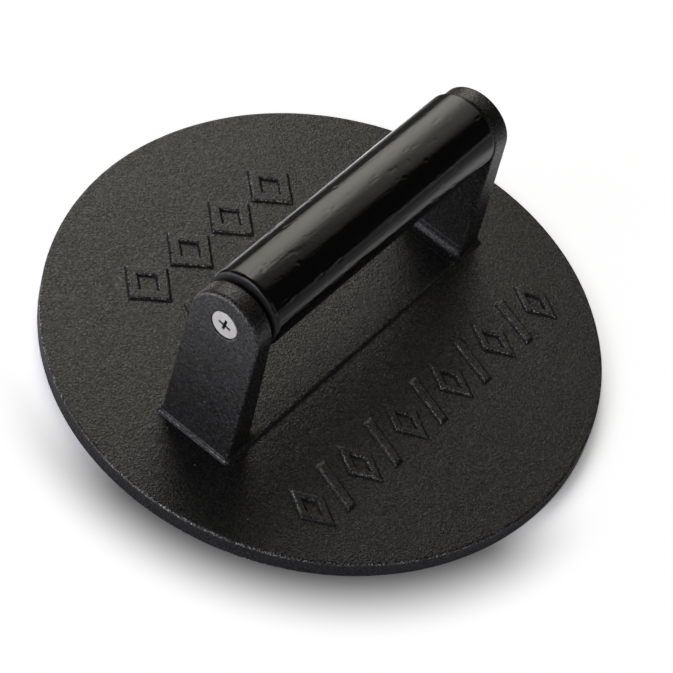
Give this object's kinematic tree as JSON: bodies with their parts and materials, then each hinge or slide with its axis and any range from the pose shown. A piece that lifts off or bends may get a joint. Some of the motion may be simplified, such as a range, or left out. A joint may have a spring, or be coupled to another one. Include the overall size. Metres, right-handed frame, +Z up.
{
  "type": "patty press",
  "caption": "Round flat-faced cast iron patty press with a turning wooden grip held between two cast posts by countersunk screws and a tie sleeve.",
  "frame": {"origin": "centre of the round pressing face, on the underside of the plate", "axes": "+Z up, square to the pressing face; +X along the grip, from the near screw to the far screw; -Y towards the front relief band"},
  "size_m": [0.18, 0.18, 0.0715],
  "materials": {
    "casting": "black, fine grained, matt to satin",
    "grip_wood": "gloss black lacquer on turned wood",
    "screw_steel": "bright zinc",
    "sleeve_steel": "turned, zinc"
  },
  "bodies": {
    "press": {"base_casting": "casting", "tie_sleeve": "sleeve_steel", "handle_screw_near": "screw_steel", "handle_screw_far": "screw_steel"},
    "grip": {"handle_grip": "grip_wood"}
  },
  "joints": [
    {"name": "grip_spin", "type": "hinge", "parent": "press", "child": "grip", "pos_m": [0, 0, 0.0585], "axis": [1, 0, 0], "continuous": true}
  ]
}
